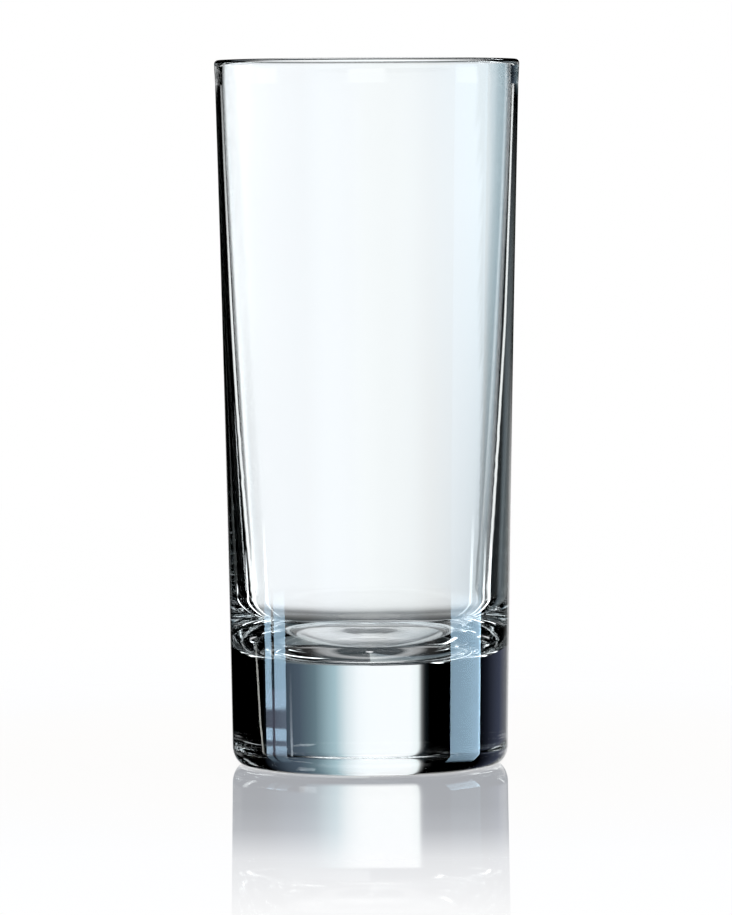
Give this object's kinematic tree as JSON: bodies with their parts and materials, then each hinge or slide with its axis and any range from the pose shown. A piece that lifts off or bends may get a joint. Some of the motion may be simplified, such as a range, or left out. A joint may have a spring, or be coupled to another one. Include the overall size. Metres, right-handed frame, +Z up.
{
  "type": "highball glass",
  "caption": "Tall clear highball glass with a gently flared wall, fire-polished lip, dished cavity and heavy solid base.",
  "frame": {"origin": "on the glass's axis, at the height of the table that it stands on", "axes": "+Z up along the axis, from the foot to the lip; the glass is round, so +X and +Y are free"},
  "size_m": [0.0666, 0.0666, 0.154],
  "materials": {
    "glass": "clear, fire-polished"
  },
  "bodies": {
    "root": {"tumbler": "glass"}
  },
  "joints": []
}
